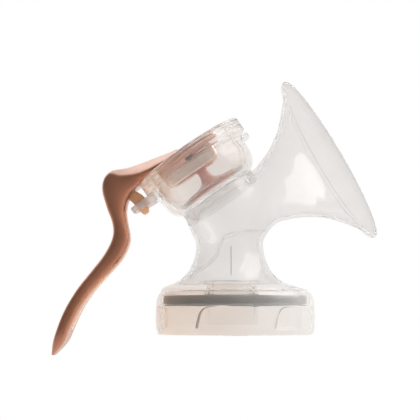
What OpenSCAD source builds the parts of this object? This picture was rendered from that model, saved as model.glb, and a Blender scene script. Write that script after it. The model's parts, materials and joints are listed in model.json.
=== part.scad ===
// Manual breast pump: a clear moulding with a breast shield and a bottle collar,
// a diaphragm housing plugged into its top, and a squeeze handle that lifts the
// diaphragm by its stem. The origin is the centre of the collar's mouth.

/* [Bottle collar] */
// Outer radius of the bottle collar
collar_r = 33.2; // [33:0.1:34.5]
// Height of the bottle collar
collar_h = 20; // [19.5:0.1:21]
// Radius of the plain land at the collar's mouth
mouth_r = 31; // [30.6:0.1:31.2]
// Height of the plain land at the mouth
mouth_land = 3; // [2.5:0.5:4]
// How far each locking lug stands in from the collar wall
lug_depth = 1; // [0.6:0.1:1.4]

/* [Breast shield] */
// Radius of the breast shield's rim
rim_r = 38.2; // [37:0.1:39]
// Tilt of the shield's axis above horizontal
shield_tilt = 30.4; // [29:0.1:32]
// Outer radius of the tunnel
tunnel_r = 11.7; // [11.5:0.1:12]
// Wall thickness of the clear mouldings
wall = 1.6; // [1.4:0.1:1.8]

/* [Diaphragm housing] */
// Tilt of the diaphragm's axis back from vertical
housing_tilt = 34.8; // [34:0.1:35.5]
// Outer radius of the housing bowl below its flange
bowl_r = 21.8; // [21.6:0.1:22]
// Outer radius of the silicone rim
diaphragm_rim_r = 24.7; // [24.2:0.1:25]

/* [Handle] */
// Largest width of the grip, at its spoon-shaped end
grip_w = 20; // [16:0.5:24]
// Width of the upper arm where it straddles the stem
arm_w = 13.4; // [13:0.1:15]
// Radius of the hinge pin
pin_r = 1.1; // [0.9:0.05:1.1]
// Running clearance of the hinge pin
pin_gap = 0.05; // [0.02:0.01:0.1]

/* [Hidden] */
$fn = 96;

// Where the three axes stand, in the plane Y = 0
shield_rim = [40.3, 0, 74.1];    // centre of the shield's rim
seat_point = [-7.15, 0, 59.03];  // where the housing's axis leaves the body
chamber_c = [-2.9, 0, 50.8];     // centre of the round chamber
neck_x = -2.2;                   // the neck stands a little behind the collar
valve_x = -1.5;
hinge_at = [-28.9, 13.9];        // hinge pin, in the housing's own frame [r, w]

chamber_r = 17.4;
split_u = -30.5;      // shield and body meet on this plane, measured back from the rim
seat_r = 16.4;        // round seat that takes the housing
seat_bore = 14.9;
seal_z = [12.6, 16.2];
plate_z = collar_h - 1.6;
hook_w = 5;           // width of the hook along the hinge
slot_gap = 0.4;       // room on each side of what moves in a slot
crossbar_r = 2.6;
crossbar_l = 9;
shaft_r = 2.1;
ledge_w = 19.5;       // ledge in the handle on which the crossbar pulls
lug_angle = 24;       // each locking lug's share of the collar's turn
lug_top = 12;
undercut = 0.7;       // the collar is wider by this above its land, and narrower at its seal
lug_turn = 20;        // where the first lug stands
neck_foot_r = 25.3;   // neck's outer radius where it meets the collar
plate_bore = 10;      // hole in the plate that closes the neck's foot
seal_bore = 22.5;
eps = 0.01;
fit = 0.15;           // what a part that is slid in stands off its neighbour
// Valve: a flanged nozzle, and a sleeve that closes to a slit below it
nozzle_r = 9.6;
nozzle_bore = 7.8;
nozzle_z = 13.5;
flange_r = 13.5;
flange_t = 2.1;
sleeve_r = 11.2;
cone_r = 11;
cone_z = [4.5, 13.3]; // slit and root of the sleeve's cone
slit_w = [0.5, 2.4];  // the slit, and the lips around it
// Stem: [height above the seat, radius] of its foot
foot_profile = [[3.45, 0], [3.45, 12], [4.7, 12], [5.4, 6], [7, 3.2], [7.6, shaft_r], [7.6, 0]];
bar_w = ledge_w + 0.2 + crossbar_r;   // height of the crossbar's axis
flange_w = [12.2, 14.7];              // locking flange, above the seat
flange_edge = bowl_r + 1.1;
flange_lug = 19.6;                    // each flange lug's share of the turn
flange_lug_r = 25.2;
rim_w = [16.1, 21.4];                 // silicone rim, above the seat
rim_corner = 1.6;

// Shield profile, [distance behind the rim, radius], outside face
shield_outer = [
    [0, rim_r], [-1.7, rim_r - 0.4], [-2.9, 35.7], [-3.8, 32.8], [-5.4, 30.4],
    [-8, 27.2], [-10.3, 24.7], [-13.1, 21.6], [-16.7, 18.8], [-20.7, 16.3],
    [-24.8, 14.3], [-28, 13.1], [split_u, tunnel_r + 0.6]
];
// Neck profile, [height, radius], outside face
neck_outer = [
    [collar_h, neck_foot_r], [21.3, 24], [22.3, 22], [23.5, 20.3], [24.8, 18.9],
    [26.5, 17.4], [28.5, 16.3], [31, 15.2], [33.6, 14.4], [37, 14], [40, 13.8], [46, 13.8]
];
// Collar profile, [height, radius], outside face
collar_outer = [
    [0, collar_r - 1.6], [0.8, collar_r - 0.8], [3, collar_r - 0.2], [8, collar_r],
    [12, collar_r - 0.2], [15, collar_r - 0.5], [16.8, collar_r - 1.3],
    [18, collar_r - 2.2], [18.9, collar_r - 3.3], [19.5, collar_r - 4.6], [collar_h, collar_r - 5.6]
];
// Bowl profile, [height above the seat, radius], outside face
bowl_outer = [
    [0, 16.2], [1.3, 18.2], [2.6, 19.6], [5, bowl_r - 0.8], [7.6, bowl_r - 0.2],
    [11, bowl_r], [14.7, bowl_r]
];
// Handle stations from the grip's tip to the arm's end:
// [outer x, outer z, inner x, inner z, width]
handle_stations = [
    [-76.3, -7.3, -75, -7.7, 9], [-76, -4, -70.8, -4, grip_w - 4],
    [-74.8, 1.5, -68.4, 3, grip_w], [-71.4, 10.5, -64.8, 11, grip_w - 1],
    [-66.5, 19, -59.8, 18.2, grip_w - 3], [-60.9, 26, -54.2, 24.4, 14.5],
    [-54.8, 33.5, -47.6, 31.8, 12.5], [-51.3, 40.5, -44.2, 39.5, 11.5],
    [-51.3, 46.5, -45.2, 46.8, 11.5], [-53.8, 53.5, -45.8, 52.4, 12.5],
    [-55.7, 62, -43.9, 58.4, 14], [-52.6, 68.3, -39.5, 62.8, 15.2],
    [-44.5, 69.6, -35.4, 66.9, 15.6], [-35.7, 72.2, -29.5, 68.6, 15],
    [-27.3, 76, -23.4, 72.1, 14], [-19, 80.8, -16.2, 77.1, arm_w],
    [-13.2, 83.9, -10.8, 80.7, arm_w], [-9.2, 86, -7.6, 83.6, 9.5]
];

// Points of an open path, each moved by t to its left
function inset(path, t) = [for (i = [0 : len(path) - 1])
    let (a = path[max(i - 1, 0)], b = path[min(i + 1, len(path) - 1)], d = (b - a) / norm(b - a))
    path[i] + t * [-d[1], d[0]]];
function swap(path) = [for (p = path) [p[1], p[0]]];
function flip(path) = [for (i = [len(path) - 1 : -1 : 0]) path[i]];
function curve_point(p, q, r, s, t) = 0.5 * (2 * q + (r - p) * t
    + (2 * p - 5 * q + 4 * r - s) * t * t + (3 * q - p - 3 * r + s) * t * t * t);
// A smooth curve through the points, with n steps between two of them
function smooth(pts, n) = let (last = len(pts) - 1) concat(
    [for (i = [0 : last - 1], k = [0 : n - 1])
        curve_point(pts[max(i - 1, 0)], pts[i], pts[i + 1], pts[min(i + 2, last)], k / n)],
    [pts[last]]);
function soft(v, e) = sign(v) * pow(abs(v), e);

module at_shield() translate(shield_rim) rotate([0, 90 - shield_tilt, 0]) children();
module at_seat() translate(seat_point) rotate([0, -housing_tilt, 0]) children();
// A plate whose outline is given as [r, w] in the housing's frame
module seat_plate(outline, width) at_seat() rotate([90, 0, 0])
    linear_extrude(width, center = true) polygon(outline);
module revolve(profile) rotate_extrude() polygon(swap(profile));
module tube(r_out, r_in, z0, z1) translate([0, 0, z0]) difference() {
    cylinder(r = r_out, h = z1 - z0);
    translate([0, 0, -1]) cylinder(r = r_in, h = z1 - z0 + 2);
}
// Solid bounded by a profile on the outside and the axis on the inside
module turned(profile) revolve(concat(profile, [[profile[len(profile) - 1][0], 0], [profile[0][0], 0]]));
// Smooth solid through the handle's stations
module loft(stations, steps, sides, squareness) {
    rings = smooth(stations, steps);
    pts = [for (s = rings, k = [0 : sides - 1])
        let (a = 360 * k / sides, c = soft(cos(a), squareness) / 2, w = soft(sin(a), squareness) / 2)
        [(s[0] + s[2]) / 2 + c * (s[0] - s[2]), w * s[4], (s[1] + s[3]) / 2 + c * (s[1] - s[3])]];
    n = len(rings);
    walls = [for (i = [0 : n - 2], k = [0 : sides - 1])
        let (m = (k + 1) % sides) [i * sides + k, i * sides + m, (i + 1) * sides + m, (i + 1) * sides + k]];
    polyhedron(pts, concat(walls, [[for (k = [sides - 1 : -1 : 0]) k]],
        [[for (k = [0 : sides - 1]) (n - 1) * sides + k]]), convexity = 6);
}

module breast_shield() color([0.93, 0.92, 0.91, 0.45]) at_shield() difference() {
    rotate_extrude() polygon(swap(concat(shield_outer, flip(inset(shield_outer, wall)), [[0.4, rim_r - 1.2]])));
    translate([0, 0, split_u - 10]) cylinder(r = tunnel_r + 10, h = 10);
}

// Everything solid of the body before it is hollowed
module body_mass() {
    translate(chamber_c) sphere(r = chamber_r);
    translate([neck_x, 0, 0]) turned(neck_outer);
    at_shield() revolve([[-49, 0], [-49, 14.5], [-38, tunnel_r + 0.5], [-34.5, tunnel_r],
        [split_u, tunnel_r + 0.6], [split_u, 0]]);
    at_seat() translate([0, 0, -12]) cylinder(r = seat_r, h = 12);
}
module body_hollow() {
    translate(chamber_c) sphere(r = chamber_r - wall);
    translate([neck_x, 0, 0]) turned([for (p = neck_outer) [p[0], p[1] - wall]]);
    translate([neck_x, 0, collar_h - 1]) cylinder(r = neck_foot_r - wall, h = 1.01);
    at_shield() translate([0, 0, -49]) cylinder(r = tunnel_r - wall + 0.2, h = 20);
    at_seat() translate([0, 0, -8]) cylinder(r = seat_bore, h = 9);
    at_seat() cylinder(r = seat_r + 3, h = 15);
}
module pump_body() color([0.93, 0.92, 0.91, 0.45]) difference() {
    body_mass();
    body_hollow();
}

module collar_lug() rotate([0, 0, -lug_angle / 2]) rotate_extrude(angle = lug_angle)
    translate([mouth_r - lug_depth, mouth_land]) square([lug_depth + undercut + 0.2, lug_top - mouth_land]);
module bottle_collar() color([0.95, 0.93, 0.92, 0.6]) {
    difference() {
        turned(collar_outer);
        translate([0, 0, -1]) cylinder(r = mouth_r, h = 1 + mouth_land);
        translate([0, 0, mouth_land]) cylinder(r = mouth_r + undercut, h = seal_z[0] - mouth_land);
        translate([0, 0, seal_z[0] - 0.1]) cylinder(r = mouth_r - undercut, h = seal_z[1] - seal_z[0] + 0.2);
        translate([0, 0, seal_z[1]]) cylinder(r = seal_bore - 0.5, h = plate_z - seal_z[1]);
        translate([valve_x, 0, seal_z[1]]) cylinder(r = plate_bore, h = collar_h);
    }
    intersection() {
        for (k = [0 : 5]) rotate([0, 0, 60 * k + lug_turn]) collar_lug();
        turned([for (p = collar_outer) [p[0], p[1] - 0.5]]);
    }
}

// Wall that carries the tunnel's floor on into the neck and down its back
module flow_divider() color([0.9, 0.89, 0.88, 0.5]) intersection() {
    rib = smooth([[9.8, 44], [4.6, 43.3], [-1.3, 42], [-4.6, 40.6], [-6.2, 37.2], [-8, 33], [-12, 28.5],
        [-18.9, 23.5]], 4);
    rotate([90, 0, 0]) linear_extrude(2 * chamber_r, center = true) polygon(concat(rib, flip(inset(rib, 1))));
    union() {
        translate([neck_x, 0, 0]) turned([for (p = neck_outer) [p[0], p[1] - wall - fit]]);
        translate(chamber_c) sphere(r = chamber_r - wall - fit);
    }
}

module bottle_seal_ring() color([0.62, 0.67, 0.66])
    tube(mouth_r - lug_depth - 0.3, seal_bore, seal_z[0], seal_z[1]);

module valve_seat() color([0.92, 0.91, 0.9, 0.6]) translate([valve_x, 0, 0]) difference() {
    union() {
        translate([0, 0, collar_h + 0.1]) cylinder(r = flange_r, h = flange_t);
        translate([0, 0, nozzle_z]) cylinder(r = nozzle_r, h = collar_h + 0.2 - nozzle_z);
    }
    translate([0, 0, nozzle_z - 1]) cylinder(r = nozzle_bore, h = collar_h);
}

// Silicone sleeve on the seat's nozzle, closing to a slit
module valve_cone(r, slit, z) hull() {
    translate([0, 0, cone_z[1] - 0.5]) cylinder(r = r, h = 0.5, $fn = 32);
    translate([-r, -slit / 2, z]) cube([2 * r, slit, 0.4]);
}
module duckbill_valve() color([0.93, 0.93, 0.92, 0.8]) translate([valve_x, 0, 0]) {
    tube(sleeve_r, nozzle_r + 0.05, cone_z[1] - 0.5, plate_z - 0.1);
    difference() {
        valve_cone(cone_r, slit_w[1], cone_z[0]);
        translate([0, 0, 0.05]) valve_cone(cone_r - wall, slit_w[0], cone_z[0] - 0.2);
    }
}

module housing_bowl() color([0.94, 0.93, 0.92, 0.45]) at_seat() difference() {
    union() {
        turned(bowl_outer);
        translate([0, 0, -4.5]) cylinder(r = seat_bore - 0.3, h = 4.6);
    }
    revolve(concat([[1.5, 0], [1.5, 15.8]], [for (i = [1 : len(bowl_outer) - 1])
        [bowl_outer[i][0] + 0.6, bowl_outer[i][1] - wall]], [[15.3, 0]]));
    translate([0, 0, -5]) cylinder(r = seat_bore - 0.3 - wall, h = 5);
    translate([0, 0, -1]) cylinder(r = 5, h = 4);
    tube(seat_bore + 1, seat_bore - 1.1, -3.2, -2.1);
}

module locking_flange() color([0.94, 0.93, 0.92, 0.45]) at_seat() {
    tube(flange_edge, bowl_r, flange_w[0], flange_w[1]);
    for (a = [0, 90, -90]) rotate([0, 0, a - flange_lug / 2]) rotate_extrude(angle = flange_lug)
        translate([flange_edge, flange_w[0]]) square([flange_lug_r - flange_edge, flange_w[1] - flange_w[0]]);
}

module handle_bracket() color([0.94, 0.93, 0.92, 0.45]) difference() {
    seat_plate([[-21, 12], [-33, 13.4], [-33.7, 14.1], [-33.7, 15.2], [-33.2, 15.7], [-26, 15.9],
        [-21, 15.9]], 13);
    at_seat() translate([0, 0, 8]) cylinder(r = flange_edge + eps, h = 10);
    seat_plate([[-32.2, 8], [-25.5, 8], [-25.5, 18], [-32.2, 18]], hook_w + 2 * slot_gap);
    at_seat() translate([hinge_at[0], 0, hinge_at[1]]) rotate([90, 0, 0])
        cylinder(r = pin_r + eps, h = 30, center = true);
}

module hinge_pin() color([0.9, 0.89, 0.88]) at_seat()
    translate([hinge_at[0], 0, hinge_at[1]]) rotate([90, 0, 0]) cylinder(r = pin_r, h = 12.6, center = true);

module housing_seal_ring() color([0.85, 0.84, 0.83, 0.8]) at_seat()
    rotate_extrude() translate([seat_bore - 0.55, -2.65]) circle(r = 0.5);

// Silicone rim that grips the bowl's edge, with its skirt and the lip behind the flange
module diaphragm_rim() color([0.93, 0.92, 0.91, 0.6]) at_seat() rotate_extrude() {
    edge = diaphragm_rim_r - rim_corner;
    translate([19.6, rim_w[0]]) square([edge - 19.6, rim_w[1] - rim_w[0]]);
    translate([edge - eps, rim_w[0] + rim_corner])
        square([rim_corner + eps, rim_w[1] - rim_w[0] - 2 * rim_corner]);
    for (w = [rim_w[0] + rim_corner, rim_w[1] - rim_corner]) translate([edge, w]) circle(r = rim_corner);
    translate([18.5, 10]) square([1.4, rim_w[1] - 10]);
    translate([19.8, 14.8]) square([1.7, 1.4]);
}

module diaphragm() color([0.96, 0.9, 0.87, 0.6]) at_seat() difference() {
    revolve([[2.5, 0], [2.5, 14.7], [4.4, 17.6], [9.7, 19.7], [9.7, 18.3], [5.2, 16.2], [4, 14.2], [4, 0]]);
    translate([0, 0, 3.4]) cylinder(r = 12.1, h = 2);
}

module stem_foot() color([0.9, 0.36, 0.2]) at_seat() revolve(foot_profile);

module stem_shaft() color([0.9, 0.36, 0.2]) at_seat() translate([0, 0, foot_profile[5][0]])
    cylinder(r = shaft_r, h = bar_w - foot_profile[5][0]);

module stem_crossbar() color([0.86, 0.6, 0.5]) difference() {
    at_seat() translate([0, 0, bar_w]) rotate([90, 0, 0])
        cylinder(r = crossbar_r, h = crossbar_l, center = true);
    at_seat() cylinder(r = shaft_r, h = bar_w);
}

module liner_zone() {
    inner = [for (s = smooth([for (i = [2 : 9]) handle_stations[i]], 4)) [s[2], s[3]]];
    rotate([90, 0, 0]) linear_extrude(7.4, center = true)
        polygon(concat(inset(inner, 1.2), flip(inset(inner, -4))));
}
module handle_mass() loft(handle_stations, 2, 16, 0.72);
module handle_shell() color([0.72, 0.5, 0.4]) difference() {
    union() {
        handle_mass();
        seat_plate([[-16, 22], [-15.2, 14.6], [-13, 12.3], [7.2, 12.3], [9.6, 13.4], [10.4, 16], [10, 22]], 9);
    }
    liner_zone();
    seat_plate([[-2.6, 8], [6.2, 8], [6.2, 30], [-2.6, 30]], 2 * shaft_r + 1);
    seat_plate([[-3.1, ledge_w], [7.4, ledge_w], [7.4, 32], [-3.1, 32]], crossbar_l + 2 * slot_gap);
}
module handle_liner() color([0.95, 0.72, 0.58]) intersection() {
    handle_mass();
    liner_zone();
}
module handle_hook() color([0.8, 0.35, 0.22]) difference() {
    seat_plate([[-30.1, 10.6], [-28.1, 10.6], [-26.6, 13.6], [-26, 16.3], [-26.3, 18], [-27.3, 20.3],
        [-29.5, 22.3], [-32.6, 22.6], [-31.6, 18.3], [-31.2, 16.2], [-31, 12.9]], hook_w);
    at_seat() translate([hinge_at[0], 0, hinge_at[1]]) rotate([90, 0, 0])
        cylinder(r = pin_r + pin_gap, h = 30, center = true);
}

breast_shield();
pump_body();
bottle_collar();
flow_divider();
bottle_seal_ring();
valve_seat();
duckbill_valve();
housing_bowl();
locking_flange();
handle_bracket();
housing_seal_ring();
diaphragm_rim();
diaphragm();
stem_foot();
stem_shaft();
stem_crossbar();
handle_shell();
handle_liner();
handle_hook();
hinge_pin();
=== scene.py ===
"""Manual breast pump: the looks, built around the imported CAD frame."""
import json
import math

import bmesh
import bpy
import numpy as np
from mathutils import Matrix, Vector


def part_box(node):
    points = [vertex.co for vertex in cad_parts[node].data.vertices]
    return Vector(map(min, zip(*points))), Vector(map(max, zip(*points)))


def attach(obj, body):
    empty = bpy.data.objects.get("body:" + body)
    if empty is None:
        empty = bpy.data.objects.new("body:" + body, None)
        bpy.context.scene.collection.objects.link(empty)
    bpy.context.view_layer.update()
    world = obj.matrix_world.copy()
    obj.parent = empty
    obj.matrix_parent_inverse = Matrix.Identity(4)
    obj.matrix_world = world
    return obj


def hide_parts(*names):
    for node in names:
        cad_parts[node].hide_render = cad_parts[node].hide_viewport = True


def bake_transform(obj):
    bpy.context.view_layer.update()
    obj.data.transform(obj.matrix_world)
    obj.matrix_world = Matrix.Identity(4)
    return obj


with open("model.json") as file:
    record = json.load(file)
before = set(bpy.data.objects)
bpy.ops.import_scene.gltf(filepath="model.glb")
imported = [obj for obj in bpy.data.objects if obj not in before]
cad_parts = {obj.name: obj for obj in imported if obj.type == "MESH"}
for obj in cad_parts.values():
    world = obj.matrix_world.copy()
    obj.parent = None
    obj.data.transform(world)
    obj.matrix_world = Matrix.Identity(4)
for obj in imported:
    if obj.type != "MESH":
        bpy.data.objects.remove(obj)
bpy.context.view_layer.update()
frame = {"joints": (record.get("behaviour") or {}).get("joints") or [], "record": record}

MM = 0.001
RECORD = frame["record"]
JOINTS = {j["name"]: j for j in frame["joints"]}
MOUNTS = {m["name"]: m for m in RECORD["mounts"]}


def unit(v):
    v = np.array(v, float)
    return v / np.linalg.norm(v)


# ---------------------------------------------------------------- datums, mm
ACROSS = np.array([0.0, 1.0, 0.0])
RIM = np.array(MOUNTS["shield_rim"]["pos_m"]) / MM
SHIELD_AXIS = unit(MOUNTS["shield_rim"]["axis"])
HINGE = np.array(JOINTS["handle_squeeze"]["pos_m"]) / MM
LIFT = unit(JOINTS["stem_lift"]["axis"])          # the housing's own axis
SIDE = np.cross(ACROSS, LIFT)                     # across it, towards the shield
HINGE_R, HINGE_W = -28.9, 13.9                    # the hinge pin in the housing's frame
SEAT = HINGE - HINGE_R * SIDE - HINGE_W * LIFT

WALL = 1.6
COLLAR_H = 20.0
COLLAR_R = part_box("bottle_collar")[1].x / MM
MOUTH_R = MOUNTS["bottle_mouth"]["dims"]["r_mm"]
SEAL_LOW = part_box("bottle_seal_ring")[0].z / MM
SEAL_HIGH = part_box("bottle_seal_ring")[1].z / MM
NECK_X = -2.2
VALVE_X = (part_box("valve_seat")[0].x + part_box("valve_seat")[1].x) / 2 / MM
CHAMBER = np.array([-2.9, 0.0, 50.8])
CHAMBER_R = 17.4
LUG_TURN = 12.5
SEAT_R = 16.4
SEAT_BORE = 14.9
BOWL_R = 21.8

UPRIGHT = (np.zeros(3), np.array([1.0, 0, 0]), ACROSS, np.array([0, 0, 1.0]))
AT_SEAT = (SEAT, SIDE, ACROSS, LIFT)


def place(points, at):
    """Points given as x, y, z in a frame (origin and three axes), in the row frame."""
    origin, x, y, z = at
    p = np.asarray(points, float)
    return origin + p[:, :1] * x + p[:, 1:2] * y + p[:, 2:3] * z


# ------------------------------------------------------------------ outlines
def smooth(points, steps):
    """A Catmull-Rom curve through the points, with this many steps between two of them."""
    p = np.array(points, float)
    p = np.vstack([2 * p[0] - p[1], p, 2 * p[-1] - p[-2]])
    out = []
    for i in range(1, len(p) - 2):
        a, b, c, d = p[i - 1 : i + 3]
        for t in np.arange(steps) / steps:
            out.append(0.5 * (2 * b + (c - a) * t + (2 * a - 5 * b + 4 * c - d) * t**2
                              + (3 * b - a - 3 * c + d) * t**3))
    return np.array(out + [p[-2]])


def fillet(outline, radius, steps=4):
    """A closed outline with each corner rounded off."""
    p = np.array(outline, float)
    out = []
    for i in range(len(p)):
        before, here, after = p[i - 1], p[i], p[(i + 1) % len(p)]
        d0, d1 = before - here, after - here
        l0, l1 = np.linalg.norm(d0), np.linalg.norm(d1)
        r = min(radius, 0.45 * l0, 0.45 * l1)
        start, end = here + d0 / l0 * r, here + d1 / l1 * r
        for t in np.arange(steps + 1) / steps:
            out.append((1 - t) ** 2 * start + 2 * t * (1 - t) * here + t**2 * end)
    return np.array(out)


# -------------------------------------------------------------------- meshes
def make_object(name, verts_mm, faces, material, body, replaces=()):
    mesh = bpy.data.meshes.new(name)
    mesh.from_pydata([tuple(v) for v in np.asarray(verts_mm) * MM], [], [tuple(map(int, f)) for f in faces])
    bm = bmesh.new()
    bm.from_mesh(mesh)
    bmesh.ops.remove_doubles(bm, verts=bm.verts, dist=1e-7)
    bmesh.ops.recalc_face_normals(bm, faces=bm.faces)
    bm.to_mesh(mesh)
    bm.free()
    for polygon in mesh.polygons:
        polygon.use_smooth = True
    obj = bpy.data.objects.new(name, mesh)
    bpy.context.scene.collection.objects.link(obj)
    mesh.materials.append(material)
    if body:
        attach(obj, body)
    if replaces:
        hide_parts(*replaces)
    return obj


def lathe(name, outline, at, material, body, replaces=(), segments=144):
    """A closed outline of [height, radius] turned about the frame's third axis."""
    outline = np.array(outline, float)
    n = len(outline)
    turns = 2 * np.pi * np.arange(segments) / segments
    radius = np.maximum(outline[:, 1], 0)
    points = np.array([[r * math.cos(a), r * math.sin(a), h]
                       for a in turns for h, r in zip(outline[:, 0], radius)])
    faces = []
    for s in range(segments):
        here, there = s * n, (s + 1) % segments * n
        for i in range(n):
            j = (i + 1) % n
            if radius[i] < 1e-6 and radius[j] < 1e-6:
                continue
            faces.append((here + i, here + j, there + j, there + i))
    return make_object(name, place(points, at), faces, material, body, replaces)


# ----------------------------------------------------- distance fields, in mm
def blend_min(a, b, r):
    h = np.clip(0.5 + 0.5 * (b - a) / r, 0, 1)
    return b * (1 - h) + a * h - r * h * (1 - h)


def blend_max(a, b, r):
    return -blend_min(-a, -b, r)


def mirrored(outline):
    """The closed loop of a turned outline of [height, radius] and its other half."""
    side = np.array(outline, float)
    return np.vstack([side, side[::-1] * [1, -1]])


def rounded_max(a, b, r):
    a, b = a + r, b + r
    return np.minimum(np.maximum(a, b), 0) + np.hypot(np.maximum(a, 0), np.maximum(b, 0)) - r


class Outline:
    """Signed distance to a closed loop of 2-D points, looked up on a grid."""

    def __init__(self, loop, margin=6.0, step=0.25):
        loop = np.array(loop, float)
        self.step = step
        self.low = loop.min(0) - margin
        high = loop.max(0) + margin
        hs = np.arange(self.low[0], high[0] + step, step)
        rs = np.arange(self.low[1], high[1] + step, step)
        h, r = np.meshgrid(hs, rs, indexing="ij")
        best = np.full(h.shape, 1e9)
        inside = np.zeros(h.shape, bool)
        for (h0, r0), (h1, r1) in zip(loop, np.roll(loop, -1, 0)):
            d = np.array([h1 - h0, r1 - r0])
            length = d @ d
            if length < 1e-12:
                continue
            t = np.clip(((h - h0) * d[0] + (r - r0) * d[1]) / length, 0, 1)
            best = np.minimum(best, (h - h0 - t * d[0]) ** 2 + (r - r0 - t * d[1]) ** 2)
            if r0 != r1:
                crosses = (r0 > r) != (r1 > r)
                inside ^= crosses & (h < (h1 - h0) * (r - r0) / (r1 - r0) + h0)
        self.grid = np.where(inside, -1, 1) * np.sqrt(best)

    def at(self, height, radius):
        fh = np.clip((height - self.low[0]) / self.step, 0, self.grid.shape[0] - 1.001)
        fr = np.clip((radius - self.low[1]) / self.step, 0, self.grid.shape[1] - 1.001)
        i, j = fh.astype(int), fr.astype(int)
        a, b = fh - i, fr - j
        g = self.grid
        return ((1 - a) * (1 - b) * g[i, j] + a * (1 - b) * g[i + 1, j]
                + (1 - a) * b * g[i, j + 1] + a * b * g[i + 1, j + 1])


def path_distance(x, z, path):
    """Distance from points to an open path in a plane."""
    best = np.full(x.shape, 1e9)
    for (x0, z0), (x1, z1) in zip(path[:-1], path[1:]):
        dx, dz = x1 - x0, z1 - z0
        t = np.clip(((x - x0) * dx + (z - z0) * dz) / (dx * dx + dz * dz), 0, 1)
        best = np.minimum(best, np.hypot(x - x0 - t * dx, z - z0 - t * dz))
    return best


def surface(field, low, high, step, rounds=3, settle=2):
    """Quads over field = 0, by surface nets: each round eases the vertices and puts them back on the surface,
    and the last passes, which settle it, only ease them."""
    low, high = np.array(low, float), np.array(high, float)
    n = np.ceil((high - low) / step).astype(int) + 1
    axes = [low[i] + step * np.arange(n[i]) for i in range(3)]
    grid = np.empty(n)
    for i, x in enumerate(axes[0]):
        y, z = np.meshgrid(axes[1], axes[2], indexing="ij")
        grid[i] = field(np.stack([np.full(y.size, x), y.ravel(), z.ravel()], 1)).reshape(y.shape)
    inside = grid < 0
    count = sum(inside[a : n[0] - 1 + a, b : n[1] - 1 + b, c : n[2] - 1 + c].astype(int)
                for a in (0, 1) for b in (0, 1) for c in (0, 1))
    mixed = (count > 0) & (count < 8)
    cells = np.argwhere(mixed)
    index = np.full(mixed.shape, -1)
    index[mixed] = np.arange(len(cells))
    total, crossings = np.zeros((len(cells), 3)), np.zeros(len(cells))
    faces = []
    for axis in range(3):
        b, c = (axis + 1) % 3, (axis + 2) % 3
        along = np.eye(3, dtype=int)[axis]
        for ob in (0, 1):
            for oc in (0, 1):
                start = cells.copy()
                start[:, b] += ob
                start[:, c] += oc
                end = start + along
                f0, f1 = grid[tuple(start.T)], grid[tuple(end.T)]
                cross = (f0 < 0) != (f1 < 0)
                share = np.where(cross, f0 / np.where(cross, f0 - f1, 1), 0)[:, None]
                total[cross] += (start + share * along)[cross]
                crossings[cross] += 1
        first = np.take(inside, range(n[axis] - 1), axis)
        second = np.take(inside, range(1, n[axis]), axis)
        edges = np.argwhere(first != second)
        edges = edges[(edges[:, b] > 0) & (edges[:, c] > 0)
                      & (edges[:, b] < n[b] - 1) & (edges[:, c] < n[c] - 1)]
        starts_inside = first[tuple(edges.T)]
        corners = []
        for ob, oc in ((-1, -1), (0, -1), (0, 0), (-1, 0)):
            cell = edges.copy()
            cell[:, b] += ob
            cell[:, c] += oc
            corners.append(index[tuple(cell.T)])
        quads = np.stack(corners, 1)
        quads[~starts_inside] = quads[~starts_inside][:, ::-1]
        faces.append(quads)
    faces = np.vstack(faces)
    verts = low + step * total / crossings[:, None]
    for done in range(rounds + settle):
        gathered, degree = np.zeros_like(verts), np.zeros(len(verts))
        for k in range(4):
            here, there = faces[:, k], faces[:, (k + 1) % 4]
            np.add.at(gathered, here, verts[there])
            np.add.at(gathered, there, verts[here])
            np.add.at(degree, here, 1)
            np.add.at(degree, there, 1)
        verts = 0.5 * verts + 0.5 * gathered / degree[:, None]
        if done < rounds:
            for _ in range(2):
                verts = onto_surface(field, verts)
    return verts, faces


def onto_surface(field, points, reach=0.06):
    value = field(points)
    slope = np.empty_like(points)
    for i in range(3):
        step = np.zeros(3)
        step[i] = reach
        slope[:, i] = (field(points + step) - field(points - step)) / (2 * reach)
    size = np.maximum((slope**2).sum(1), 0.2)
    move = value / size
    return points - np.clip(move, -0.5, 0.5)[:, None] * slope


# ----------------------------------------------------------------- materials
COLLAR_FADE = (0.0225, 0.0185)     # z, in metres, where the neck's colour turns to the collar's
HANDLE_REFLECTION_X = (-0.022, -0.041)      # x, in metres, where the handle's reflected light is painted into the silicone's colour


def tree_of(name):
    material = bpy.data.materials.new(name)
    material.use_nodes = True
    tree = material.node_tree
    return material, tree, tree.nodes["Principled BSDF"]


def grain(tree, scale, detail=3.0):
    """Noise in the object's own coordinates."""
    where = tree.nodes.new("ShaderNodeTexCoord")
    noise = tree.nodes.new("ShaderNodeTexNoise")
    noise.inputs["Scale"].default_value = scale
    noise.inputs["Detail"].default_value = detail
    tree.links.new(where.outputs["Object"], noise.inputs["Vector"])
    return noise.outputs["Fac"]


def spread(tree, fac, low, high, socket):
    """Maps a 0 to 1 value onto a range and links it."""
    node = tree.nodes.new("ShaderNodeMapRange")
    node.inputs["From Min"].default_value = 0.3
    node.inputs["From Max"].default_value = 0.7
    node.inputs["To Min"].default_value = low
    node.inputs["To Max"].default_value = high
    tree.links.new(fac, node.inputs["Value"])
    tree.links.new(node.outputs["Result"], socket)


def tint(tree, fac, first, second, socket):
    ramp = tree.nodes.new("ShaderNodeValToRGB")
    ramp.color_ramp.elements[0].position = 0.35
    ramp.color_ramp.elements[1].position = 0.65
    ramp.color_ramp.elements[0].color = (*first, 1)
    ramp.color_ramp.elements[1].color = (*second, 1)
    tree.links.new(fac, ramp.inputs["Fac"])
    tree.links.new(ramp.outputs["Color"], socket)


def bump(tree, fac, shader, strength, distance):
    node = tree.nodes.new("ShaderNodeBump")
    node.inputs["Strength"].default_value = strength
    node.inputs["Distance"].default_value = distance
    tree.links.new(fac, node.inputs["Height"])
    tree.links.new(node.outputs["Normal"], shader.inputs["Normal"])


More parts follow.
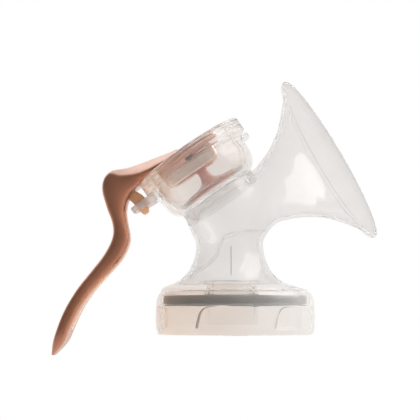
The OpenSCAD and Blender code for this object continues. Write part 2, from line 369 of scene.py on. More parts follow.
def edge_tint(tree, face, edge, lean=0.5, vary=0.015):
    """A colour that deepens where the wall is seen edge-on, with a little unevenness."""
    weight = tree.nodes.new("ShaderNodeLayerWeight")
    weight.inputs["Blend"].default_value = lean
    ramp = tree.nodes.new("ShaderNodeValToRGB")
    ramp.color_ramp.elements[0].position = 0.15
    ramp.color_ramp.elements[1].position = 1.0
    ramp.color_ramp.elements[0].color = (*face, 1)
    ramp.color_ramp.elements[1].color = (*edge, 1)
    tree.links.new(weight.outputs["Facing"], ramp.inputs["Fac"])
    mottle = tree.nodes.new("ShaderNodeMix")
    mottle.data_type = "RGBA"
    mottle.blend_type = "MULTIPLY"
    mottle.inputs["Factor"].default_value = 1.0
    tree.links.new(ramp.outputs["Color"], mottle.inputs["A"])
    tint(tree, grain(tree, 28), (1 - vary, 1 - vary, 1 - vary), (1, 1, 1), mottle.inputs["B"])
    return mottle.outputs["Result"]


def rise(tree, value, low, high, start=0.0, end=1.0):
    """Goes smoothly from start to end while the value goes from low to high."""
    ramp = tree.nodes.new("ShaderNodeMapRange")
    ramp.interpolation_type = "SMOOTHSTEP"
    ramp.inputs["From Min"].default_value = low
    ramp.inputs["From Max"].default_value = high
    ramp.inputs["To Min"].default_value = start
    ramp.inputs["To Max"].default_value = end
    tree.links.new(value, ramp.inputs["Value"])
    return ramp.outputs["Result"]


def by_place(tree, axis, low, high):
    """0 to 1 along one of the object's own axes, in metres."""
    where = tree.nodes.new("ShaderNodeTexCoord")
    split = tree.nodes.new("ShaderNodeSeparateXYZ")
    tree.links.new(where.outputs["Object"], split.inputs["Vector"])
    return rise(tree, split.outputs[axis], low, high)


def by_direction(tree, axis, low, high):
    """0 to 1 along any direction, in millimetres from the origin."""
    where = tree.nodes.new("ShaderNodeTexCoord")
    along = tree.nodes.new("ShaderNodeVectorMath")
    along.operation = "DOT_PRODUCT"
    along.inputs[1].default_value = tuple(axis)
    tree.links.new(where.outputs["Object"], along.inputs[0])
    return rise(tree, along.outputs["Value"], low * MM, high * MM)


def mixed(tree, fac, a, b):
    """A colour or colour socket blended with another."""
    node = tree.nodes.new("ShaderNodeMix")
    node.data_type = "RGBA"
    tree.links.new(fac, node.inputs["Factor"])
    for name, value in (("A", a), ("B", b)):
        if isinstance(value, tuple):
            node.inputs[name].default_value = (*value, 1)
        else:
            tree.links.new(value, node.inputs[name])
    return node.outputs["Result"]


def clear_material(name, face, edge, roughness, ior, weight=0.9, coat=0.5):
    """Clear or milky moulding: part of the light passes and part is scattered, with faint flow marks."""
    material, tree, shader = tree_of(name)
    tree.links.new(edge_tint(tree, face, edge), shader.inputs["Base Color"])
    spread(tree, grain(tree, 90), roughness * 0.7, roughness * 1.3, shader.inputs["Roughness"])
    shader.inputs["Transmission Weight"].default_value = weight
    shader.inputs["IOR"].default_value = ior
    shader.inputs["Coat Weight"].default_value = coat
    shader.inputs["Coat Roughness"].default_value = 0.02
    bump(tree, grain(tree, 45, 1.0), shader, 0.015, 0.0004)
    return material


def base_of(material):
    """A material's tree, its shader, and what feeds its base colour."""
    tree = material.node_tree
    shader = tree.nodes["Principled BSDF"]
    return tree, shader, shader.inputs["Base Color"].links[0].from_socket


def clearness(tree, shader, fac, start, end):
    """How much light passes, from one value to another."""
    node = tree.nodes.new("ShaderNodeMapRange")
    node.inputs["To Min"].default_value = start
    node.inputs["To Max"].default_value = end
    tree.links.new(fac, node.inputs["Value"])
    tree.links.new(node.outputs["Result"], shader.inputs["Transmission Weight"])


def moulding_material():
    """The body's milky plastic, warmer in the collar, most of all at its back, with painted shade that greys the
    shield's lip and, most, its rolled edge.
    """
    material = clear_material("clear_plastic", (1.0, 0.997, 0.994), (0.905, 0.895, 0.893), 0.05, ior=1.03)
    tree, shader, milky = base_of(material)
    warm = mixed(tree, by_place(tree, "X", -0.034, 0.03), (1.0, 0.925, 0.87), (1.0, 0.985, 0.975))
    lower = mixed(tree, by_place(tree, "Z", *COLLAR_FADE), milky, warm)
    # painted shade: the lip, and more its rolled edge, are painted greyer
    front = RIM @ SHIELD_AXIS
    lip = by_direction(tree, SHIELD_AXIS, front - 2.6, front - 1.9)
    rolled = by_direction(tree, SHIELD_AXIS, front - 1.2, front - 0.9)
    edge = mixed(tree, rolled, mixed(tree, lip, lower, (0.90, 0.895, 0.895)), (0.80, 0.80, 0.81))
    tree.links.new(edge, shader.inputs["Base Color"])
    clearness(tree, shader, by_place(tree, "Z", *COLLAR_FADE), 0.925, 0.9)
    return material


def rim_material():
    """The silicone, with the handle's warm reflected light painted into its colour at the hinge end."""
    material = clear_material("tinted_silicone", (1.0, 0.98, 0.965), (0.97, 0.93, 0.905), 0.2,
                              ior=1.06, coat=0.4)
    tree, shader, plain = base_of(material)
    tree.links.new(mixed(tree, by_place(tree, "X", *HANDLE_REFLECTION_X), plain, (1.0, 0.80, 0.66)),
                   shader.inputs["Base Color"])
    clearness(tree, shader, by_place(tree, "X", *HANDLE_REFLECTION_X), 0.9, 0.72)
    return material


def solid_material(name, first, second, roughness, metallic=0.0, scale=60, relief=0.08, coat=0.0):
    material, tree, shader = tree_of(name)
    tint(tree, grain(tree, scale), first, second, shader.inputs["Base Color"])
    spread(tree, grain(tree, scale * 6), roughness * 0.85, roughness * 1.15, shader.inputs["Roughness"])
    shader.inputs["Metallic"].default_value = metallic
    shader.inputs["Coat Weight"].default_value = coat
    bump(tree, grain(tree, 2600, 2.0), shader, relief, 0.00005)
    return material


def fade(material, axis, low, high, colour):
    """Turns the material's base colour to another one along an axis of the object."""
    tree, shader, plain = base_of(material)
    tree.links.new(mixed(tree, by_place(tree, axis, low, high), plain, colour), shader.inputs["Base Color"])


def sheen(material, lower, upper):
    """A paler colour where the satin metal is seen at a low angle, most of all on the arm."""
    tree, shader, plain = base_of(material)
    weight = tree.nodes.new("ShaderNodeLayerWeight")
    weight.inputs["Blend"].default_value = 0.35
    pale = mixed(tree, by_place(tree, "Z", 0.056, 0.064), lower, upper)
    tree.links.new(mixed(tree, weight.outputs["Facing"], plain, pale), shader.inputs["Base Color"])


def pale_keel(material, colour):
    """Paler where the handle reaches down into the diaphragm."""
    tree, shader, plain = base_of(material)
    base = SEAT @ LIFT
    low = mixed(tree, by_direction(tree, LIFT, base + 20, base + 18), plain, colour)
    tree.links.new(mixed(tree, by_place(tree, "X", -0.036, -0.031), plain, low), shader.inputs["Base Color"])


CLEAR = moulding_material()
HOUSING = clear_material("housing_clear", (1.0, 0.995, 0.99), (0.97, 0.95, 0.935),
                         0.06, ior=1.035, weight=0.97, coat=0.35)
THIN = clear_material("thin_clear", (1.0, 0.995, 0.99), (0.94, 0.935, 0.93),
                      0.06, ior=1.035, weight=0.97, coat=0.2)
SILICONE = clear_material("clear_silicone", (1.0, 0.995, 0.99), (0.97, 0.96, 0.955),
                          0.14, ior=1.03, weight=0.97, coat=0.1)
# a brownish clear for painted shade: the dark lines along a lug's flank and down the neck's bore
SHADE_CLEAR = clear_material("shade_ribbon_clear", (0.66, 0.57, 0.52), (0.55, 0.47, 0.43),
                       0.2, ior=1.05, weight=0.7, coat=0.0)
MILKY = clear_material("milky_clear", (1.0, 0.92, 0.875), (1.0, 0.89, 0.84),
                       0.55, ior=1.12, weight=0.7, coat=0.2)
# the silicone, with a painted reflection of the handle in its colour at the hinge end
SILICONE_HANDLE_REFLECTION = rim_material()
GREY = solid_material("grey_silicone", (0.11, 0.122, 0.12), (0.13, 0.142, 0.14), 0.6, scale=40)
STEM = solid_material("stem_plastic", (0.70, 0.20, 0.12), (0.76, 0.25, 0.16), 0.28, scale=50, coat=0.4)
ROSE = solid_material("rose_gold", (0.56, 0.24, 0.145), (0.60, 0.26, 0.16),
                      0.34, metallic=0.92, relief=0.004, coat=0.1)
PEACH = solid_material("peach_plastic", (1.0, 0.52, 0.27), (1.0, 0.56, 0.31), 0.3, coat=0.3)
PIN = solid_material("pin_plastic", (0.78, 0.75, 0.72), (0.82, 0.8, 0.77), 0.35)
# painted light: the seal ring is painted lighter towards +x, for the haze of the lit collar in front of it
fade(GREY, "X", 0.008, 0.034, (0.37, 0.375, 0.365))
fade(GREY, "Z", 0.0140, 0.0166, (0.30, 0.29, 0.28))
sheen(ROSE, (0.80, 0.50, 0.37), (0.97, 0.87, 0.82))
pale_keel(ROSE, (1.0, 0.80, 0.69))

# ------------------------------------------------------ shield, body and neck
SHIELD_OUT = [
    [-46, 11.6], [-36.5, 11.7], [-31.9, 12.0], [-29, 12.9], [-24.8, 14.3], [-20.7, 16.3], [-16.7, 18.8],
    [-13.1, 21.6], [-10.3, 24.7], [-8, 27.2], [-5.4, 30.4], [-3.8, 32.8], [-2.7, 35.5], [-2.2, 36.8],
    [-1.4, 37.8], [1.5, 38.8],
]
NECK_OUT = [
    [46, 13.8], [40, 13.8], [37, 14.0], [33.6, 14.4], [31, 15.2], [28.5, 16.3], [26.5, 17.4], [24.8, 18.9],
    [23.5, 20.3], [22.3, 22.0], [21.3, 24.0], [20.6, 26.0], [19.0, 28.5], [16, 29.5],
]
COLLAR_OUT = [
    [0.0, COLLAR_R - 1.4], [0.8, COLLAR_R - 0.8], [3, COLLAR_R - 0.2], [8, COLLAR_R], [12, COLLAR_R - 0.2],
    [15, COLLAR_R - 0.5], [16.8, COLLAR_R - 1.3], [18, COLLAR_R - 2.2], [18.9, COLLAR_R - 3.3],
    [19.6, COLLAR_R - 5.2], [20, COLLAR_R - 7.2],
]
COLLAR_IN = [
    [COLLAR_H, 0], [18.4, 0], [18.4, 26.8], [17.8, 28.6], [16.8, 29.8], [15.6, MOUTH_R - 0.7],
    [SEAL_LOW - 0.1, MOUTH_R - 0.7], [SEAL_LOW - 0.1, MOUTH_R + 0.7], [3.4, MOUTH_R + 0.7], [2.8, MOUTH_R],
    [0, MOUTH_R],
]
# the wall that carries on from the tunnel's floor and curves down the back of the neck, [x, z]
DIVIDER = smooth([[12.5, 43.9], [4.6, 43.3], [-1.3, 42.0], [-4.6, 40.6], [-6.2, 37.2], [-7.1, 34.4],
                  [-8.5, 32.2], [-11.4, 29.4], [-15.4, 26.8], [-19.0, 23.6]], 5)


def capped(outline):
    """The outline with its ends closed down to the axis."""
    curve = smooth(outline, 6)
    return np.vstack([[curve[0][0], 0], curve, [curve[-1][0], 0]])


SHIELD_FIELD = Outline(mirrored(capped(SHIELD_OUT)))
NECK_FIELD = Outline(mirrored(capped(NECK_OUT)))
COLLAR_FIELD = Outline(mirrored(np.vstack([smooth(COLLAR_OUT, 4), COLLAR_IN])))
# one of the six quarter-turn lugs inside the collar, [distance round the wall, height], one corner well rounded
LUG_FIELD = Outline(smooth([[-6.6, 3.1], [-5.9, 6.0], [-5.1, 8.6], [-3.6, 10.4], [-1.4, 11.2], [1.5, 11.4],
                            [5.8, 11.5], [6.3, 11.3], [6.5, 10.8], [6.5, 3.4], [6.2, 3.0], [-6.2, 3.0]], 3))


def along_and_off(p, origin, axis):
    """Distance along an axis and out from it."""
    q = p - origin
    u = q @ axis
    return u, np.linalg.norm(q - u[:, None] * axis, axis=1)


def body_field(p):
    x, y, z = p.T
    u, rho = along_and_off(p, RIM, SHIELD_AXIS)
    w, off = along_and_off(p, SEAT, LIFT)
    chamber = np.linalg.norm(p - CHAMBER, axis=1) - CHAMBER_R
    neck = NECK_FIELD.at(z, np.hypot(x - NECK_X, y))
    core = blend_min(blend_min(chamber, neck, 2.5), SHIELD_FIELD.at(u, rho), 5.0)
    seat = np.maximum(off - SEAT_R, np.maximum(w, -w - 9))
    shell = blend_max(blend_min(core, seat, 1.5), -(core + WALL), 0.4)
    shell = blend_max(shell, -np.maximum(off - SEAT_BORE, -w - 7.5), 0.3)
    shell = blend_max(shell, -np.maximum(off - SEAT_R - 4, -w), 0.3)
    shell = np.maximum(blend_max(shell, u, 1.5), COLLAR_H - 1.0 - z)
    out = np.hypot(x, y)
    plate = blend_max(COLLAR_FIELD.at(z, out), 10 - np.hypot(x - VALVE_X, y), 0.3)
    turn = np.degrees(np.arctan2(y, x)) - LUG_TURN
    lug = LUG_FIELD.at(np.radians((turn + 30) % 60 - 30) * MOUTH_R, z)
    lug = rounded_max(lug, np.abs(out - MOUTH_R - 0.3) - 1.3, 0.3)
    return blend_min(shell, np.minimum(plate, lug), 1.2)


def body_moulding():
    verts, faces = surface(body_field, [-36.2, -39.5, -1.4], [61, 39.5, 108.6], 0.65)
    make_object("body_moulding", verts, faces, CLEAR, "pump_body",
                ["breast_shield", "pump_body", "bottle_collar"])


def neck_bore(z):
    """The neck's inner radius at a height."""
    heights, radii = np.array(NECK_OUT[::-1]).T
    return np.interp(z, heights, radii) - WALL


def neck_reach(x, z, gap):
    """Half the neck's inner width at a place in its middle plane."""
    inner = neck_bore(z) - gap
    return math.sqrt(max(inner**2 - (x - NECK_X) ** 2, 0.04))


def sheet_of(path, thick, across):
    """A thin wall that follows a path in the middle plane and is across(x, z) wide to each side."""
    path = np.array(path)
    step = np.gradient(path, axis=0)
    normal = np.stack([-step[:, 1], step[:, 0]], 1) / np.linalg.norm(step, axis=1)[:, None]
    lanes = np.sin(np.linspace(-np.pi / 2, np.pi / 2, 17))
    n = len(path)
    verts = []
    for side in (-0.5, 0.5):
        for (x, z), (a, b) in zip(path, normal):
            half = across(x, z)
            verts += [[x + a * thick * side, y * half, z + b * thick * side] for y in lanes]
    m, layer = len(lanes), n * len(lanes)
    faces = []
    for i in range(n - 1):
        for k in range(m - 1):
            a, b, c, d = i * m + k, i * m + k + 1, (i + 1) * m + k + 1, (i + 1) * m + k
            faces += [(a, b, c, d), (a + layer, d + layer, c + layer, b + layer)]
    for i in range(n - 1):
        for k in (0, m - 1):
            a, b = i * m + k, (i + 1) * m + k
            faces.append((a, b, b + layer, a + layer))
    for k in range(m - 1):
        for i in (0, n - 1):
            a = i * m + k
            faces.append((a, a + 1, a + 1 + layer, a + layer))
    return verts, faces


def divider():
    verts, faces = sheet_of(DIVIDER, 0.8, lambda x, z: neck_reach(x, min(z, 40), 0.1))
    make_object("divider", verts, faces, THIN, "pump_body", ["flow_divider"])


body_moulding()
divider()


# ------------------------------------------------------ collar, seal, valve
SHADE_RIBBON_HALF = 0.14      # half the thickness of a ribbon of painted shade along a lug's flank
RIB_X, RIB_HALF = -1.7, 0.17


def swept(name, rings, material, body):
    """A thin bar from its cross-sections, each a ring of the same number of points."""
    n, m = len(rings), len(rings[0])
    faces = [(i * m + k, i * m + (k + 1) % m, (i + 1) * m + (k + 1) % m, (i + 1) * m + k)
             for i in range(n - 1) for k in range(m)]
    faces += [tuple(range(m)), tuple(range((n - 1) * m, n * m))]
    return make_object(name, np.vstack(rings), faces, material, body)


def lug_flank_shades():
    """Ribbons of painted shade along the steep flanks of two of the lugs, where the moulding is thickest: a
    brownish one and a faint one.
    """
    path = smooth([[-6.75, 3.0], [-6.0, 6.0], [-5.2, 8.7], [-3.7, 10.6], [-1.4, 11.4], [1.5, 11.6]], 5)
    step = np.gradient(path, axis=0)
    normal = np.stack([-step[:, 1], step[:, 0]], 1) / np.linalg.norm(step, axis=1)[:, None] * SHADE_RIBBON_HALF
    inside, outside = MOUTH_R - 1.1, MOUTH_R + 0.6
    for name, lug, material, slot in (("lug_flank_shade_1", -2, SHADE_CLEAR, "collar_plastic"),
                                      ("lug_flank_shade_2", -1, THIN, "clear_plastic")):
        rings = []
        for (s, z), (a, b) in zip(path, normal):
            ring = []
            for side, r in ((-1, inside), (1, inside), (1, outside), (-1, outside)):
                t = math.radians(LUG_TURN + 60 * lug) + (s + side * a) / MOUTH_R
                ring.append([r * math.cos(t), r * math.sin(t), z + side * b])
            rings.append(np.array(ring))
        swept(name, rings, material, "pump_body")


def neck_rib():
    """A fine rib down the near side of the neck's bore, in the brownish clear that paints a line of shade."""
    corners = ((-RIB_HALF, -0.1), (RIB_HALF, -0.1), (RIB_HALF, 0.5), (-RIB_HALF, 0.5))
    rings = [np.array([[RIB_X + a, -neck_bore(z) + b, z] for a, b in corners])
             for z in np.linspace(24.6, 36.6, 16)]
    swept("neck_rib", rings, SHADE_CLEAR, "pump_body")


def seal():
    bore, edge = 22.5, MOUTH_R - 1.0
    loop = fillet([[SEAL_LOW, bore], [SEAL_LOW, edge], [SEAL_HIGH, edge], [SEAL_HIGH, bore]], 0.5)
    lathe("bottle_seal", loop, UPRIGHT, GREY, "pump_body", ["bottle_seal_ring"])


def valve():
    at = (np.array([VALVE_X, 0, 0]), *UPRIGHT[1:])
    loop = fillet([[20.1, 9.6], [20.1, 13.5], [22.2, 13.5], [22.2, 11.5], [21.6, 11.0], [21.6, 8.6],
                   [22.0, 7.8], [13.5, 7.8], [13.5, 9.6]], 0.4, 3)
    lathe("valve_holder", loop, at, THIN, "pump_body", ["valve_seat"], 96)
    sides = 72
    turns = 2 * np.pi * np.arange(sides) / sides
    rings = []
    # height, half width, half depth: down the outside, back up the inside
    for z, a, b in ((18.2, 11.0, 11.0), (18.0, 11.2, 11.2), (15.2, 11.2, 11.2), (14.9, 11.5, 11.5),
                    (14.3, 11.5, 11.5), (14.0, 11.2, 11.2), (12.6, 11.0, 10.4), (10.6, 11.0, 8.2),
                    (8.4, 11.0, 5.4), (6.4, 11.0, 2.9), (5.0, 11.0, 1.4), (4.5, 10.8, 0.9), (4.5, 9.4, 0.15),
                    (5.2, 9.4, 0.3), (6.8, 9.5, 1.7), (8.8, 9.6, 4.3), (10.8, 9.65, 6.9), (12.8, 9.65, 9.0),
                    (13.6, 9.65, 9.65), (18.0, 9.65, 9.65), (18.2, 9.9, 9.9)):
        # the flattened rings are squarer at their ends
        e = 1 - 0.35 * (1 - b / a)
        c, s = np.cos(turns), np.sin(turns)
        rings.append(np.stack([a * np.sign(c) * np.abs(c) ** e + VALVE_X, b * np.sign(s) * np.abs(s) ** e,
                               np.full(sides, z)], 1))
    n = len(rings)
    faces = [(i * sides + k, i * sides + (k + 1) % sides, (i + 1) % n * sides + (k + 1) % sides,
              (i + 1) % n * sides + k) for i in range(n) for k in range(sides)]
    make_object("duckbill", np.vstack(rings), faces, SILICONE, "pump_body",
                ["duckbill_valve"])


lug_flank_shades()
neck_rib()
seal()
valve()

# ---------------------------------------------------------- diaphragm housing
BOWL = [[0, 16.2], [1.3, 18.2], [2.6, 19.6], [5, 21.0], [7.6, 21.6], [11, 21.8], [12.2, BOWL_R]]
FLANGE_R = 22.9
BOWL_FIELD = Outline(mirrored(np.vstack([
    [[0, 0]], smooth(BOWL, 4), [[12.3, FLANGE_R], [14.7, FLANGE_R], [14.7, 0]]])))
BOWL_INSIDE = Outline(mirrored(np.vstack([
    [[1.5, 0], [1.5, 15.6]], smooth([[h + 0.6, r - WALL] for h, r in BOWL[1:]], 4), [[20, 20.2], [20, 0]]])))
ARM = Outline([[-19, 12.2], [-26, 12.4], [-33, 13.5], [-33.7, 14.1], [-33.7, 15.2], [-33.2, 15.7],
               [-26, 15.9], [-19, 15.9]])


def housing_field(p):
    x, y, w = p.T
    rho = np.hypot(x, y)
    bowl = BOWL_FIELD.at(w, rho)
    lug = 1e3
    for ahead, aside in ((x, y), (y, x), (-y, x)):
        lug = np.minimum(lug, np.maximum(np.maximum(rho - 25.2, 19 - ahead), np.abs(aside) - 4.3))
    lug = rounded_max(lug, np.abs(w - 13.45) - 1.25, 0.5)
    plug = np.maximum(rho - (SEAT_BORE - 0.3), np.abs(w + 2) - 2.5)
    solid = blend_min(blend_min(bowl, lug, 0.5), plug, 0.7)
    hollow = np.minimum(BOWL_INSIDE.at(w, rho), np.minimum(np.maximum(rho - 13.0, w), rho - 5))
    groove = np.hypot(rho - (SEAT_BORE - 0.4), w + 2.65) - 0.75
    return blend_max(solid, -np.minimum(hollow, groove), 0.4)


def bracket_field(p):
    x, y, w = p.T
    arm = rounded_max(ARM.at(x, w), np.abs(y) - 6.5, 0.7)
    slot = np.maximum(np.abs(y) - 2.9, np.abs(x + 28.85) - 3.35)
    return blend_max(arm, np.maximum(FLANGE_R - 0.1 - np.hypot(x, y), -slot), 0.3)


def housing():
    verts, faces = surface(housing_field, [-35.5, -26.5, -5.8], [26.7, 26.5, 17.2], 0.5, 2)
    make_object("housing", place(verts, AT_SEAT), faces, HOUSING, "pump_body",
                ["housing_bowl", "locking_flange"])
    verts, faces = surface(bracket_field, [-35.5, -8, 10], [-20, 8, 18], 0.4, 2)
    make_object("bracket", place(verts, AT_SEAT), faces, MILKY, "pump_body",
                ["handle_bracket"])
    turn = np.linspace(0, 2 * np.pi, 14)[:-1]
    ring = np.stack([-2.65 + 0.55 * np.sin(turn), SEAT_BORE - 0.55 + 0.55 * np.cos(turn)], 1)
    lathe("housing_seal", ring, AT_SEAT, SILICONE, "pump_body", ["housing_seal_ring"])
    ridges = [[-4.4, 16.45], [-4.4, 16.7]]
    for w in (-3.6, -2.4, -1.2, 0.0):
        ridges += [[w - 0.35, 16.8], [w - 0.1, 17.3], [w + 0.25, 17.3], [w + 0.5, 16.8]]
    ridges += [[0.5, 16.45]]
    lathe("seat_ridges", fillet(ridges, 0.15, 2), AT_SEAT, THIN, "pump_body")


housing()


# ---------------------------------------------------------- diaphragm and stem
def diaphragm():
    grooves = [[w + ahead, radius] for w in (17.5, 19.0, 20.5)
               for ahead, radius in ((0.0, 25.0), (0.15, 24.4), (0.4, 24.4), (0.55, 25.0))]
    rim = fillet([[15.0, 19.9], [15.0, 21.4], [16.1, 21.6], [16.1, 25.0], *grooves, [21.9, 25.0], [21.9, 21.2],
                  [20.7, 20.4], [21.2, 19.5], [21.2, 18.5], [10.2, 18.5]], 1.5, 5)[:-6]
    over = smooth([[12.5, 18.5], [10.0, 18.35], [8.4, 17.4], [7.2, 16.9], [6.2, 16.4], [5.0, 15.6],
                   [4.3, 14.3], [4.1, 12.6]], 4)
    under = smooth([[2.6, 12.6], [2.6, 14.4], [3.4, 16.4], [4.6, 17.6], [6.6, 18.2], [8.2, 18.9], [9.9, 19.8],
                    [12.5, 19.9]], 4)
    loop = np.vstack([rim, over, [[4.1, 0]], [[2.6, 0]], under])
    obj = lathe("diaphragm_soft", loop, AT_SEAT, SILICONE_HANDLE_REFLECTION, None,
                ["diaphragm_rim", "diaphragm"], 160)
    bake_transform(obj)


def stem():
    foot = smooth([[4.7, 11.6], [5.1, 8.6], [5.9, 5.4], [7.2, 3.3], [9.4, 2.35], [12, 2.1]], 5)
    loop = np.vstack([[[4.0, 0], [4.0, 11.8], [4.3, 12.0], [4.6, 11.9]], foot, [[22.0, 2.1], [22.0, 0]]])
    lathe("stem_body", loop, AT_SEAT, STEM, "stem", ["stem_foot", "stem_shaft"], 96)
    sideways = (SEAT + 22.3 * LIFT, SIDE, LIFT, ACROSS)
    loop = fillet([[-4.5, 0], [-4.5, 2.0], [-3.9, 2.6], [3.9, 2.6], [4.5, 2.0], [4.5, 0]], 0.5, 4)
    lathe("stem_bar", loop, sideways, ROSE, "stem", ["stem_crossbar"], 64)


diaphragm()
stem()

# --------------------------------------------------------------------- handle
# from the grip's tip to the arm's end: outer x, outer z, inner x, inner z, width
STATIONS = np.array([
    [-76.3, -8.2, -75.4, -8.5, 9], [-75.5, -3.2, -70.6, -2.9, 16], [-73.8, 1.9, -67.9, 3.4, 20],
    [-70.4, 10.5, -64.3, 11, 19], [-65.5, 19, -59.4, 18.2, 17], [-60.2, 26, -53.9, 24.4, 14.5],
    [-54.6, 33.5, -47.5, 31.8, 12.5],
    [-51.3, 40.5, -44.2, 39.5, 11.5], [-51.3, 46.5, -45.2, 46.8, 11.5], [-53.8, 53.5, -45.8, 52.4, 12.5],
    [-55.7, 62, -43.9, 58.4, 14], [-52.6, 68.2, -39.5, 62.8, 15.2], [-44.5, 70.4, -35.4, 66.9, 15.6],
    [-35.7, 73.7, -29.5, 68.8, 15], [-27.3, 76.8, -23.4, 72.1, 14], [-19, 80.8, -16.2, 77.1, 13.4],
    [-13.2, 83.9, -10.8, 80.7, 13.4], [-9.2, 86, -7.6, 83.6, 11],
])
KEEL = [[-16, 23], [-15.4, 14.8], [-13, 12.4], [6.6, 12.3], [9.2, 13.4], [10.3, 16], [9.8, 23]]
STRIP = smooth(STATIONS[2:10, 2:4], 4)
# the arm's top face turns down to a crease on each side: how far below the top line it runs, by x
# how much the handle's sides fall away at their edges: none at the tip, most from the elbow up
CROWN = [0.0, 0.75]
BEVEL_X = [-55, -52.5, -48.3, -44, -40, -36, -31.5, -24, -12]
BEVEL = [0.0, 0.8, 3.2, 3.9, 4.6, 4.6, 3.6, 2.0, 1.1]


class Handle:
    """The handle's side outline, its width at each place, and how its edges are rounded."""

    def __init__(self):
        rows = smooth(STATIONS, 5)
        self.side = Outline(np.vstack([rows[:, :2], rows[::-1, 2:4]]))
        keel = np.array([SEAT + r * SIDE + w * LIFT for r, w in fillet(KEEL, 3.0, 5)])
        self.keel = Outline(keel[:, [0, 2]])
        self.low, self.step = np.array([-84.0, -15.0]), 0.75
        xs, zs = np.arange(self.low[0], 8, self.step), np.arange(self.low[1], 96, self.step)
        x, z = np.meshgrid(xs, zs, indexing="ij")
        middle = (rows[:, :2] + rows[:, 2:4]) / 2
        best, width = np.full(x.shape, 1e9), np.zeros(x.shape)
        for (x0, z0), (x1, z1), a, b in zip(middle[:-1], middle[1:], rows[:-1, 4], rows[1:, 4]):
            dx, dz = x1 - x0, z1 - z0
            t = np.clip(((x - x0) * dx + (z - z0) * dz) / (dx * dx + dz * dz), 0, 1)
            d = np.hypot(x - x0 - t * dx, z - z0 - t * dz)
            width = np.where(d < best, a + (b - a) * t, width)
            best = np.minimum(best, d)
        self.outer = path_distance(x, z, rows[:, :2])
        inner = path_distance(x, z, rows[:, 2:4])
        for _ in range(6):
            width = sum(np.roll(width, shift, axis) for axis in (0, 1) for shift in (-1, 1)) / 4
        self.width = width
        self.top = inner / (self.outer + inner + 1e-6)

    def look_up(self, grid, x, z):
        fx = np.clip((x - self.low[0]) / self.step, 0, grid.shape[0] - 1.001)
        fz = np.clip((z - self.low[1]) / self.step, 0, grid.shape[1] - 1.001)
        i, j = fx.astype(int), fz.astype(int)
        a, b = fx - i, fz - j
        return ((1 - a) * (1 - b) * grid[i, j] + a * (1 - b) * grid[i + 1, j]
                + (1 - a) * b * grid[i, j + 1] + a * b * grid[i + 1, j + 1])

    def mass(self, p):
        x, y, z = p.T
        upper = np.clip((z - 58) / 6, 0, 1)
        across = self.look_up(self.top, x, z)
        beside = np.abs(y) - self.look_up(self.width, x, z) / 2 
        beside = beside + np.interp(z, [0, 50], CROWN) * (2 * across - 1) ** 2
        round_off = 0.9 + (1 - upper) * 0.5 * np.clip(np.abs(across * 2 - 1) * 2 - 1, 0, 1)
        arm = rounded_max(self.side.at(x, z), beside, round_off)
        deep = 0.05 + upper * np.interp(x, BEVEL_X, BEVEL)
        bevel = (beside / 1.15 - self.look_up(self.outer, x, z)) * 0.755 + 0.755 * deep
        arm = blend_max(arm, bevel, 0.5)
        keel = rounded_max(self.keel.at(x, z), np.abs(y) - 4.5, 1.3)
        return blend_min(arm, keel, 0.8)

    def shell(self, p):
        x, y, z = p.T
        local = p - SEAT
        r, w = local @ SIDE, local @ LIFT
        slot = np.maximum(np.abs(y) - 2.6, np.abs(r - 1.8) - 4.4)
        pocket = np.maximum(np.maximum(np.abs(y) - 4.9, np.abs(r - 2.15) - 5.25), 19.5 - w)
        strip = np.maximum(path_distance(x, z, STRIP) - 1.25, np.abs(y) - 3.3)
        cut = np.minimum(np.minimum(slot, pocket), strip)
        return blend_max(self.mass(p), -cut, 0.35)

    def liner(self, p):
        x, y, z = p.T
        strip = rounded_max(path_distance(x, z, STRIP) - 1.4, np.abs(y) - 3.55, 0.3)
        return blend_max(strip, self.mass(p) - 0.2, 0.3)


def handle():
    shape = Handle()
    verts, faces = surface(shape.shell, [-78.6, -11.3, -11.2], [-4.5, 11.3, 88.5], 0.6, 4, 4)
    make_object("handle_body", verts, faces, ROSE, "handle", ["handle_shell"])
    verts, faces = surface(shape.liner, [-73, -5, 0], [-40, 5, 57], 0.45, 1)
    make_object("handle_strip", verts, faces, PEACH, "handle", ["handle_liner"])


def flat_plate(outline, half, edge):
    """A plate in the housing's frame: an outline of [r, w] and its bevelled thickness along the hinge."""
    loop = np.array(outline)
    middle = loop.mean(0)
    rings = []
    for y, share in ((-half, edge), (-half + edge, 0.0), (half - edge, 0.0), (half, edge)):
        pull = middle - loop
        size = np.linalg.norm(pull, axis=1)[:, None]
        at = loop + pull / size * share
        rings.append(np.stack([at[:, 0], np.full(len(at), y), at[:, 1]], 1))
    n = len(loop)
    faces = [tuple(range(n)), tuple(range(3 * n, 4 * n))]
    faces += [(k * n + i, k * n + (i + 1) % n, (k + 1) * n + (i + 1) % n, (k + 1) * n + i)
              for k in range(3) for i in range(n)]
    return np.vstack(rings), faces


def hook():
    outline = fillet([[-30.4, 10.5], [-27.9, 10.5], [-26.6, 13.6], [-26, 16.3], [-26.3, 18], [-27.3, 20.3],
                      [-29.5, 22.6], [-32.6, 22.6], [-31.6, 18.3], [-31.2, 16.2], [-31, 12.9]], 0.9, 4)
    verts, faces = flat_plate(outline, 2.5, 0.5)
    make_object("hook", place(verts, AT_SEAT), faces, PEACH, "handle", ["handle_hook"])
    across = (HINGE, SIDE, LIFT, ACROSS)
    loop = [[-6.3, 0], [-6.3, 0.7], [-6.0, 1.05], [-5.6, 1.1], [5.6, 1.1], [6.0, 1.05], [6.3, 0.7], [6.3, 0]]
    lathe("pin", loop, across, PIN, "pump_body", ["hinge_pin"], 40)


handle()
hook()


# --------------------------------------------------------------------- studio
DIM_SIDE = tuple(unit([-0.6, -0.75, 0.32]))       # the studio is darkest in front, high on the left
BRIGHT, DIM = 0.88, 0.2                           # its strength on the far side and in that direction
FLOOR_HALF, FLOOR_Z = 2.0, -0.35

CAMERA = (-3, -520, 6)
AIM = (-10.5, 0, 52.5)
FRAME_WIDTH = 177.0                               # what the frame spans at the aim's distance


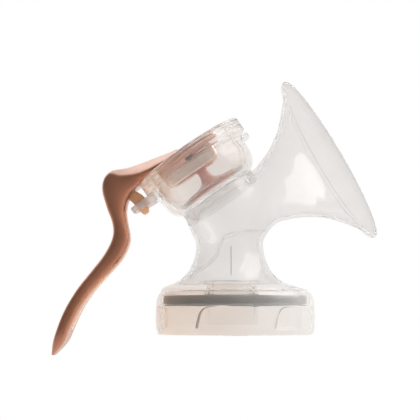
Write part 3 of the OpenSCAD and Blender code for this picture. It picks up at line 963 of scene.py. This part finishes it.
def studio():
    scene = bpy.context.scene
    scene.view_settings.view_transform = "Standard"
    scene.view_settings.look = "None"
    scene.cycles.max_bounces = 24
    scene.cycles.transmission_bounces = 20
    scene.cycles.glossy_bounces = 6
    scene.cycles.diffuse_bounces = 3
    scene.cycles.sample_clamp_indirect = 8
    scene.cycles.caustics_reflective = False

    world = bpy.data.worlds.new("studio")
    scene.world = world
    world.use_nodes = True
    tree = world.node_tree
    back = tree.nodes["Background"]
    where = tree.nodes.new("ShaderNodeTexCoord")
    toward = tree.nodes.new("ShaderNodeVectorMath")
    toward.operation = "DOT_PRODUCT"
    toward.inputs[1].default_value = DIM_SIDE
    tree.links.new(where.outputs["Generated"], toward.inputs[0])
    strength = rise(tree, toward.outputs["Value"], 0.1, 1.0, BRIGHT, DIM)
    path = tree.nodes.new("ShaderNodeLightPath")
    pick = tree.nodes.new("ShaderNodeMix")
    tree.links.new(path.outputs["Is Camera Ray"], pick.inputs["Factor"])
    tree.links.new(strength, pick.inputs["A"])
    pick.inputs["B"].default_value = 1.0
    tree.links.new(pick.outputs["Result"], back.inputs["Strength"])
    colour = mixed(tree, path.outputs["Is Camera Ray"], (1.0, 0.975, 0.955), (1.0, 1.0, 1.0))
    tree.links.new(colour, back.inputs["Color"])

    # name, place, where it points, width along Y, length, watts
    for name, where_at, faces, width, length, power in (
        ("key", (0.72, -0.02, 0.78), (-0.707, 0, -0.707), 1.0, 1.05, 10.3),
        ("crown", (-0.6, 0.25, 1.0), (0.6, -0.25, -1), 0.9, 0.8, 1.25),
    ):
        light = bpy.data.lights.new(name, "AREA")
        light.shape = "RECTANGLE"
        light.size = width
        light.size_y = length
        light.energy = power
        obj = bpy.data.objects.new(name, light)
        obj.location = where_at
        back_to = -Vector(faces).normalized()
        sideways = Vector((0, 1, 0))
        turn = Matrix((sideways, back_to.cross(sideways), back_to)).transposed()
        obj.rotation_mode = "QUATERNION"
        obj.rotation_quaternion = turn.to_quaternion()
        scene.collection.objects.link(obj)

    mesh = bpy.data.meshes.new("floor")
    corners = [(a * FLOOR_HALF, b * FLOOR_HALF, FLOOR_Z) for a, b in ((-1, -1), (1, -1), (1, 1), (-1, 1))]
    mesh.from_pydata(corners, [], [(0, 1, 2, 3)])
    floor = bpy.data.objects.new("floor", mesh)
    scene.collection.objects.link(floor)
    mesh.materials.append(solid_material("floor_paper", (0.9, 0.9, 0.9), (0.93, 0.93, 0.93), 0.7, scale=8))
    floor.visible_glossy = False

    # the camera stands close and low, in front of the object's middle
    camera = bpy.data.cameras.new("camera")
    target = Vector(AIM) * MM
    toward = Vector(CAMERA) * MM - target
    camera.lens = 36 * toward.length / (FRAME_WIDTH * MM)
    camera.clip_end = 50
    obj = bpy.data.objects.new("camera", camera)
    obj.location = target + toward
    obj.rotation_mode = "QUATERNION"
    obj.rotation_quaternion = toward.to_track_quat("Z", "Y")
    scene.collection.objects.link(obj)
    scene.camera = obj


studio()
